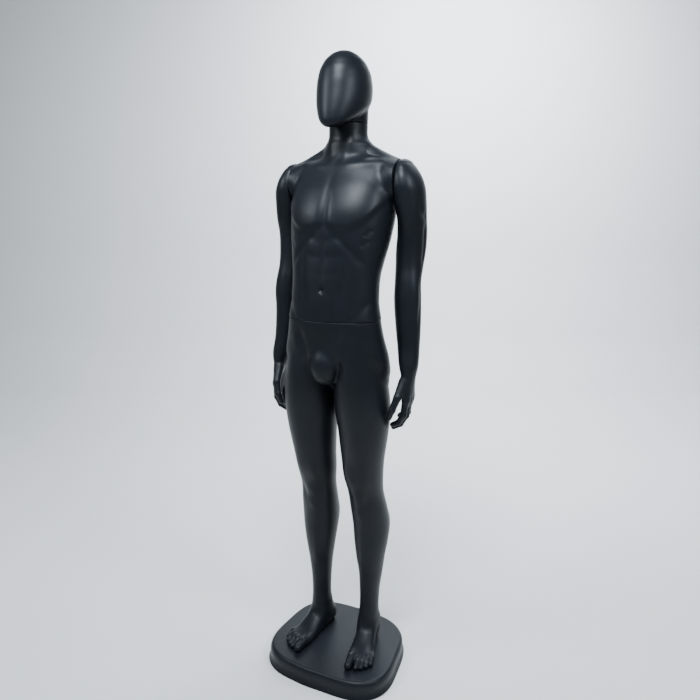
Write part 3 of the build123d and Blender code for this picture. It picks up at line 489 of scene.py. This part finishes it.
neck_y = 48.0
neck_top = 1688.0
shoulder_y = 50.0
shoulder_z = 1517.0
seat_x = 174.0
torso_rings = [
    (1085.0, 0.0, -42.0, 147.0, 96.0),
    (1100.0, 0.0, -42.0, 146.0, 96.0),
    (1130.0, 0.0, -42.0, 141.0, 95.0),
    (1165.0, 0.0, -40.0, 138.0, 95.0),
    (1195.0, 0.0, -37.0, 137.0, 96.0),
    (1230.0, 0.0, -31.0, 138.0, 99.0),
    (1275.0, 0.0, -20.0, 145.0, 105.0),
    (1322.0, 0.0, -7.0, 153.0, 115.0),
    (1370.0, 0.0, 3.0, 159.0, 122.0),
    (1410.0, 0.0, 12.0, 163.0, 125.0),
    (1450.0, 0.0, 21.0, 165.0, 122.0),
    (1490.0, 0.0, 29.0, 163.0, 113.0),
    (1530.0, 0.0, 36.0, 150.0, 95.0),
    (1562.0, 0.0, 41.0, 120.0, 80.0),
    (1592.0, 0.0, 45.0, 84.0, 60.0),
    (1622.0, 0.0, 47.0, 62.0, 56.0),
]
neck_rings = [
    (1540.0, 0.0, 40.0, 70.0, 66.0),
    (1580.0, 0.0, 42.0, 62.0, 61.0),
    (1620.0, 0.0, 45.0, 59.0, 59.0),
    (1665.0, 0.0, neck_y, 60.0, 60.0),
    (1700.0, 0.0, neck_y, 60.5, 60.5),
]
# along X from the middle: y, z, half depth, half height
yoke_rings = [
    (-2.0, 38.0, 1490.0, 76.0, 84.0),
    (60.0, 41.0, 1497.0, 76.0, 86.0),
    (115.0, 45.0, 1508.0, 71.0, 80.0),
    (150.0, 44.0, 1513.0, 72.0, 65.0),
    (180.0, 44.0, 1515.0, 71.0, 57.0),
]

cell = 2.0
low, high = (0.0, -150.0, waist_z - 6.0), (184.0, 160.0, neck_top + 6.0)
at = block(low, high, cell)
x, y, z = at
torso = tube(x, y, z, torso_rings, 2.25)
torso = join(torso, tube(y, z, x, yoke_rings, 2.0), 26.0)
torso = join(torso, limb(at, (36.0, 54.0, 1620.0), (176.0, 50.0, 1541.0), 28.0, 24.0), 26.0)
torso = join(torso, tube(x, y, z, neck_rings, 2.0), 26.0)
torso = trim_off(torso, x - seat_x + 0 * y + 0 * z, 1.6)

# chest: a flat plate of muscle each side, with a firm lower edge and a soft inner one
cut = near(at, (-1.0, -200.0, 1330.0), (190.0, 20.0, 1570.0))
px, _, pz = part_of(at, cut)
edge = 1369.0 + np.where(px < 66.0, 0.0036, 0.0095) * (px - 66.0) ** 2
chest = soft_step(pz - edge, 4.5) * (0.5 + 0.5 * np.cos(np.pi * np.clip((pz - 1405.0) / 135.0, 0, 1)))
torso[cut] -= 8.0 * chest * soft_step(px - 9.0, 7.0) * soft_step(154.0 - px, 8.0)
score(torso, at, [(0.0, 1556.0), (0.0, 1480.0), (0.0, 1400.0), (0.0, 1352.0)], 12.0, 1.6)
score(torso, at, [(14.0, 1554.0), (60.0, 1562.0), (108.0, 1570.0), (156.0, 1566.0)], 10.0, -2.6, 20.0)
score(torso, at, [(24.0, 1584.0), (80.0, 1592.0), (126.0, 1590.0)], 14.0, 1.8, 20.0)
swell(torso, at, (0.0, -40.0, 1572.0), (14.0, 26.0, 14.0), -3.0)
crease(torso, at, [(12.0, -44.0, 1566.0), (30.0, -20.0, 1612.0), (46.0, 8.0, 1664.0)], 13.0, -1.4)
score(torso, at, [(166.0, 1462.0), (146.0, 1496.0), (134.0, 1530.0), (128.0, 1560.0)], 12.0, 2.4)

# belly: middle line, side lines, three cross lines, arch of the ribs, navel
score(torso, at, [(0.0, 1366.0), (0.0, 1300.0), (0.0, 1208.0)], 9.0, 1.7)
score(torso, at, [(58.0, 1350.0), (67.0, 1290.0), (66.0, 1215.0), (54.0, 1140.0)], 11.0, 2.2)
score(torso, at, [(2.0, 1334.0), (32.0, 1337.0), (66.0, 1349.0)], 12.0, 1.0)
score(torso, at, [(2.0, 1286.0), (32.0, 1288.0), (68.0, 1297.0)], 12.0, 0.9)
score(torso, at, [(2.0, 1236.0), (32.0, 1237.0), (66.0, 1243.0)], 12.0, 0.5)
score(torso, at, [(16.0, 1360.0), (50.0, 1336.0), (88.0, 1298.0), (118.0, 1258.0)], 10.0, 2.2)
score(torso, at, [(128.0, 1336.0), (108.0, 1314.0)], 7.0, 1.2)
score(torso, at, [(134.0, 1368.0), (116.0, 1344.0)], 7.0, 1.2)
score(torso, at, [(136.0, 1168.0), (112.0, 1130.0), (90.0, 1096.0)], 10.0, 2.0)
swell(torso, at, (0.0, -133.0, 1191.0), (6.0, 9.0, 7.5), -9.0)
swell(torso, at, (0.0, -136.0, 1152.0), (46.0, 30.0, 32.0), 2.5)

# back: spine, shoulder blades, flank muscles, small of the back
spine = [(0.0, 1560.0), (0.0, 1450.0), (0.0, 1300.0), (0.0, 1180.0), (0.0, 1104.0)]
score(torso, at, spine, 13.0, 6.5, 30.0, False)
swell(torso, at, (88.0, 128.0, 1468.0), (36.0, 30.0, 52.0), 8.0)
swell(torso, at, (118.0, 70.0, 1400.0), (36.0, 44.0, 80.0), 6.0)
score(torso, at, [(46.0, 1432.0), (90.0, 1402.0), (132.0, 1420.0)], 11.0, 3.0, 60.0, False)
swell(torso, at, (34.0, 62.0, 1190.0), (22.0, 30.0, 90.0), 4.0)

torso_body = skin("torso", torso, low, cell, True, 190000)
cut_flat(torso_body, (0, 0, waist_z), (0, 0, -1), 2.0)
cut_flat(torso_body, (0, neck_y, neck_top), (0, 0, 1), 1.2)
mould(torso_body, "torso", "torso_shell")

# ------------------------------------------------------------------ head
# The head is a smooth hollow egg without features. It and the stub of neck under it are one
# moulding, which turns on a sprung bolt in the top of the neck.

head_rings = [
    (1630.0, 0.0, -40.0, 30.0, 42.0),
    (1655.0, 0.0, -29.0, 41.5, 62.0),
    (1680.0, 0.0, -15.0, 53.0, 81.0),
    (1704.0, 0.0, 0.0, 64.0, 96.0),
    (1730.0, 0.0, 11.0, 73.0, 104.0),
    (1770.0, 0.0, 20.0, 79.0, 107.0),
    (1812.0, 0.0, 24.0, 78.0, 104.0),
    (1850.0, 0.0, 25.0, 69.0, 92.0),
    (1880.0, 0.0, 25.0, 51.0, 68.0),
    (1896.0, 0.0, 25.0, 32.0, 43.0),
    (1903.0, 0.0, 25.0, 17.0, 23.0),
    (1905.0, 0.0, 25.0, 8.0, 11.0),
]
nape_rings = [
    (1680.0, 0.0, neck_y, 60.0, 60.0),
    (1691.0, 0.0, neck_y, 60.5, 60.5),
    (1712.0, 0.0, neck_y - 3.0, 62.0, 63.0),
    (1738.0, 0.0, neck_y - 9.0, 64.0, 67.0),
    (1768.0, 0.0, neck_y - 15.0, 58.0, 61.0),
]
head_gap = 2.0
# where the jaw's underside starts, as y and z, and how steeply it falls to the chin
jaw_root = (-13.0, 1690.0)
jaw_slope = math.radians(25.0)

cell = 1.6
low, high = (0.0, -112.0, 1636.0), (88.0, 142.0, 1910.0)
at = block(low, high, cell)
x, y, z = at
head = tube(x, y, z, head_rings, 2.05)
jaw_under = (jaw_root[1] - z) * math.cos(jaw_slope) + (y - jaw_root[0]) * math.sin(jaw_slope) + 0 * x
head = trim_off(head, jaw_under, 34.0)
nape = trim_off(tube(x, y, z, nape_rings, 2.0), neck_top + head_gap - z + 0 * x + 0 * y, 1.0)
head = join(head, nape, 8.0)
head_body = skin("head", head, low, cell, True, 160000)
mould(head_body, "head", "head_shell")

# ------------------------------------------------------------------ arms
# Each arm and its hand are one moulding, hollow to the wrist. A round flat seat inside the
# shoulder meets the torso's, and the arm turns there on a stud. The right arm mirrors the left.

arm_rings = [
    (1577.0, 187.0, 50.0, 6.0, 12.0),
    (1573.0, 187.0, 50.0, 14.0, 27.0),
    (1561.0, 187.5, 48.0, 25.0, 45.0),
    (1540.0, 190.5, 47.0, 37.0, 60.0),
    (1500.0, 196.0, 47.0, 48.0, 72.0),
    (1450.0, 203.0, 52.0, 47.0, 69.0),
    (1403.0, 208.0, 58.0, 42.0, 64.0),
    (1355.0, 206.0, 68.0, 43.0, 59.0),
    (1306.0, 203.5, 66.0, 44.0, 56.0),
    (1258.0, 203.5, 54.0, 41.0, 49.0),
    (1211.0, 205.0, 38.0, 39.0, 43.0),
    (1164.0, 206.0, 34.0, 40.0, 45.0),
    (1091.0, 209.0, 33.0, 38.0, 43.0),
    (1020.0, 214.0, 26.0, 33.0, 38.0),
    (952.0, 221.0, 10.0, 26.0, 33.0),
    (930.0, 222.0, 8.0, 20.5, 30.0),
    (908.0, 222.5, 7.0, 17.0, 34.0),
    (880.0, 223.0, 6.0, 15.0, 38.0),
    (858.0, 223.0, 6.0, 12.0, 37.0),
    (848.0, 223.0, 6.0, 9.0, 30.0),
]
# each finger: knuckle, two joints, tip, and the radius at each of them
fingers = [
    ((223, -20, 864), (218, -23, 822), (204, -23, 799), (183, -21, 788), (10.5, 9.6, 8.6, 7.4)),
    ((224, -2, 860), (218, -2, 815), (202, -2, 788), (180, -3, 775), (10.7, 9.8, 8.8, 7.6)),
    ((223.5, 16, 863), (217, 16, 820), (202, 15, 794), (181, 13, 781), (10.4, 9.4, 8.4, 7.2)),
    ((221, 33, 869), (214, 33, 834), (202, 32, 814), (186, 29, 803), (9.6, 8.6, 7.6, 6.6)),
]
thumb = ((214.0, -14.0, 918.0), (206.0, -43.0, 878.0), (194.0, -53.0, 842.0), (184.0, -51.0, 817.0))
thumb_radii = (15.0, 11.5, 10.0, 8.0)
shoulder_gap = 3.0
seat_radius = 84.0
armpit_radius = 122.0

cell = 1.6
low, high = (160.0, -80.0, 736.0), (262.0, 140.0, 1590.0)
at = block(low, high, cell)
x, y, z = at
arm = tube(x, y, z, arm_rings, 2.0)
cut = near(at, (160.0, -80.0, 736.0), (262.0, 60.0, 945.0))
hand_at = part_of(at, cut)
hand = np.full(arm[cut].shape, 1e3, dtype=np.float32)
for knuckle, middle, last, tip, radii in fingers:
    palm_end = (knuckle[0], knuckle[1] * 0.6 + 2.0, knuckle[2] + 36.0)
    finger = chain(hand_at, (palm_end, knuckle, middle, last, tip), (radii[0] - 2.5, *radii), 3.0)
    hand = join(hand, finger, 2.2)
hand = join(arm[cut], hand, 7.0)
arm[cut] = join(hand, chain(hand_at, thumb, thumb_radii, 4.0), 11.0)

# muscle of the upper arm and forearm, elbow, wrist bone, knuckles
swell(arm, at, (232.0, 50.0, 1500.0), (30.0, 44.0, 48.0), 3.0)
crease(arm, at, [(250.0, 12.0, 1440.0), (252.0, 40.0, 1412.0), (250.0, 70.0, 1404.0)], 12.0, 3.2)
swell(arm, at, (208.0, 18.0, 1350.0), (26.0, 22.0, 58.0), 5.0)
swell(arm, at, (216.0, 118.0, 1380.0), (26.0, 22.0, 60.0), 5.0)
crease(arm, at, [(246.0, 58.0, 1390.0), (244.0, 60.0, 1320.0), (240.0, 52.0, 1260.0)], 10.0, 2.8)
swell(arm, at, (210.0, 84.0, 1226.0), (14.0, 14.0, 18.0), 5.0)
swell(arm, at, (238.0, 12.0, 1180.0), (18.0, 22.0, 44.0), 4.0)
crease(arm, at, [(246.0, 30.0, 1215.0), (246.0, 30.0, 1150.0), (242.0, 24.0, 1080.0)], 9.0, 2.2)
swell(arm, at, (226.0, 36.0, 962.0), (9.0, 10.0, 11.0), 3.4)
for knuckle, middle, *_ in fingers:
    swell(arm, at, (knuckle[0] + 10.0, knuckle[1], knuckle[2] + 2.0), (7.0, 7.0, 8.0), 1.8)
    swell(arm, at, (middle[0] + 9.0, middle[1], middle[2]), (6.0, 6.0, 6.0), 1.2)

out = np.sqrt((y - shoulder_y) ** 2 + (z - shoulder_z) ** 2)
seat = seat_x + shoulder_gap - 8.0 * np.clip((out - seat_radius) / 12.0, 0, 1)
seat -= 30.0 * np.clip((out - armpit_radius) / 16.0, 0, 1)
arm = trim_off(arm, seat - x, 1.6)

left_arm = skin("left_arm", arm, low, cell, False, 190000)
other = left_arm.data.copy()
other.name = "right_arm"
places = np.empty(len(other.vertices) * 3, dtype=np.float32)
other.vertices.foreach_get("co", places)
places[0::3] *= -1
other.vertices.foreach_set("co", places)
other.flip_normals()
right_arm = bpy.data.objects.new("right_arm", other)
bpy.context.scene.collection.objects.link(right_arm)
mould(left_arm, "left_arm", "left_arm_shell")
mould(right_arm, "right_arm", "right_arm_shell")

# ------------------------------------------------------------------ base
# A low moulded stand in the same plastic, rounded along its top edge, hollow below with ribs.
# The CAD solid has the right shape, so it only takes the plastic's finish.



def dress(nodes, material):
    """Gives CAD nodes one material in place of their own."""
    for node in nodes:
        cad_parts[node].data.materials.clear()
        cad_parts[node].data.materials.append(material)


dress(["base_shell"], plastic)

# ------------------------------------------------------------------ metal fittings
# Rods, studs, plates, nuts and screws are zinc plated steel, bought in and hidden inside.


def zinc(tree, place):
    """Zinc plating: faint spangle, drawn streaks and a few dull spots."""
    spangle = grain(tree, place, 260.0, 4.0)
    streak = grain(tree, place, 90.0, 3.0, 0.5, (1, 1, 12))
    spots = ((grain(tree, place, 45.0, 5.0) - 0.6) * 6.0).clip()
    shade = (spangle * 0.7 + spots * 0.4).clip()
    return {
        "Base Color": tint(tree, shade, (0.50, 0.51, 0.52), (0.68, 0.68, 0.66)),
        "Roughness": (streak * 0.18 + spots * 0.2 + 0.24).clip(),
        "Normal": bumps(tree, spangle * 0.5 + streak * 0.5, 0.00008),
    }


steel = finish_of("zinc_plate", {"Metallic": 1.0}, zinc)
steel_nodes = [
    "floor_plate", "floor_plate_screws", "foot_rod_washers", "foot_rod_nuts", "left_foot_rod",
    "right_foot_rod", "hip_plate_screws", "waist_hub_screws", "torso_neck_plate", "head_neck_plate",
    "torso_neck_screws", "neck_pivot", "neck_spring_washer", "neck_nut", "head_plate_screws",
]
steel_of_an_arm = ("arm_stud", "arm_screws", "shoulder_spring", "shoulder_nut", "socket_screws")
for hand_side in ("left_", "right_"):
    steel_nodes += [hand_side + n for n in steel_of_an_arm]
dress(steel_nodes, steel)

# ------------------------------------------------------------------ couplings and bushes
# The bayonet plates, shoulder sockets and shoulder washers are dark moulded nylon; the foot bushes
# and the neck's friction washer are natural nylon, and the pads under the base are rubber.


def nylon(tree, place, dark, light):
    """Moulded nylon: matt, a little cloudy, with a fine grain."""
    cloud = grain(tree, place, 30.0, 4.0)
    fine = grain(tree, place, 700.0, 2.0)
    return {
        "Base Color": tint(tree, cloud, dark, light),
        "Roughness": (cloud * 0.12 + 0.46).clip(),
        "Normal": bumps(tree, fine, 0.0001),
    }


def rubber(tree, place):
    """Moulded rubber: dull and finely pitted, with dusty patches."""
    pits = grain(tree, place, 1200.0, 3.0)
    dusty = ((grain(tree, place, 60.0, 4.0) - 0.5) * 3.0).clip()
    return {
        "Base Color": tint(tree, dusty, (0.018, 0.018, 0.018), (0.06, 0.058, 0.054)),
        "Roughness": (dusty * 0.15 + 0.72).clip(),
        "Normal": bumps(tree, pits, 0.0002),
    }


dark_nylon = finish_of(
    "dark_nylon", {}, lambda tree, place: nylon(tree, place, (0.05, 0.05, 0.053), (0.09, 0.09, 0.092))
)
pale_nylon = finish_of(
    "natural_nylon", {}, lambda tree, place: nylon(tree, place, (0.66, 0.64, 0.58), (0.78, 0.76, 0.71))
)
dress(["hip_waist_plate", "waist_hub", "left_shoulder_socket", "right_shoulder_socket"], dark_nylon)
dress(["left_shoulder_washer", "right_shoulder_washer"], dark_nylon)
dress(["left_foot_bush", "right_foot_bush", "neck_friction_washer"], pale_nylon)
dress(["base_pads"], finish_of("pad_rubber", {}, rubber))

# ------------------------------------------------------------------ floor, light, camera
# A plain pale paper floor that sweeps up behind, three soft lamps over the figure, one for the
# paper behind it, and a camera at about chest height that looks slightly down.

floor_run = np.array([(-5.0, 0.0), (2.2, 0.0), (2.8, 0.12), (3.2, 0.5), (3.4, 1.2), (3.4, 5.0)])
across = np.array([-6.0, 6.0])
sweep = np.stack([
    np.repeat(across[:, None], len(floor_run), 1),
    np.repeat(floor_run[None, :, 0], 2, 0),
    np.repeat(floor_run[None, :, 1], 2, 0),
], axis=-1).reshape(-1, 3)
view_turn = math.radians(26.0)
sweep[:, :2] = sweep[:, :2] @ np.array(
    [[math.cos(view_turn), math.sin(view_turn)], [-math.sin(view_turn), math.cos(view_turn)]]
)
n = len(floor_run)
floor_mesh = bpy.data.meshes.new("floor")
floor_mesh.from_pydata(sweep.tolist(), [], [(i, i + n, i + n + 1, i + 1) for i in range(n - 1)])
floor_mesh.shade_smooth()
floor = bpy.data.objects.new("floor", floor_mesh)
bpy.context.scene.collection.objects.link(floor)


def paper(tree, place):
    """Plain pale backdrop paper with a very faint mottle."""
    mottle = grain(tree, place, 3.0, 3.0)
    return {"Base Color": tint(tree, mottle, (0.64, 0.64, 0.64), (0.67, 0.67, 0.67))}


floor_mesh.materials.append(finish_of("floor_paper", {"Roughness": 0.9}, paper))

world = bpy.data.worlds.new("room")
bpy.context.scene.world = world
world.use_nodes = True
world.node_tree.nodes["Background"].inputs["Color"].default_value = (1.0, 1.0, 1.0, 1)
world.node_tree.nodes["Background"].inputs["Strength"].default_value = 0.13


def lamp(name, place, target, size, power):
    """A square soft lamp of cool white light at a place, aimed at a target."""
    light = bpy.data.lights.new(name, "AREA")
    light.size = size
    light.energy = power
    light.color = (0.85, 0.93, 1.0)
    lamp_body = bpy.data.objects.new(name, light)
    aim = np.array(target, dtype=float) - np.array(place, dtype=float)
    lamp_body.location = place
    lamp_body.rotation_euler = (
        math.atan2(math.hypot(aim[0], aim[1]), -aim[2]), 0, math.atan2(-aim[0], aim[1]),
    )
    bpy.context.scene.collection.objects.link(lamp_body)


for name, place, target, size, power in (
    ("lamp_top", (0.35, -1.3, 3.3), (0, 0, 1.5), 1.0, 125),
    ("lamp_left", (-1.8, -1.7, 2.8), (0, 0, 1.4), 0.9, 53),
    ("lamp_right", (2.4, -0.6, 2.7), (0, 0, 1.3), 0.9, 53),
    ("lamp_backdrop", (0.3, 1.7, 3.3), (-0.8, 3.8, 1.1), 1.8, 300),
):
    lamp(name, place, target, size, power)

camera_data = bpy.data.cameras.new("camera")
camera_data.sensor_width = 36.0
camera_data.lens = 31.0
camera_data.shift_x = 0.013
camera_data.shift_y = -0.106
camera = bpy.data.objects.new("camera", camera_data)
camera.location = (0.813, -1.667, 1.370)
camera.rotation_euler = (
    Matrix.Rotation(view_turn, 3, "Z")
    @ Matrix.Rotation(math.radians(90 - 4.5), 3, "X")
    @ Matrix.Rotation(math.radians(0.3), 3, "Z")
).to_euler()
bpy.context.scene.collection.objects.link(camera)
bpy.context.scene.camera = camera
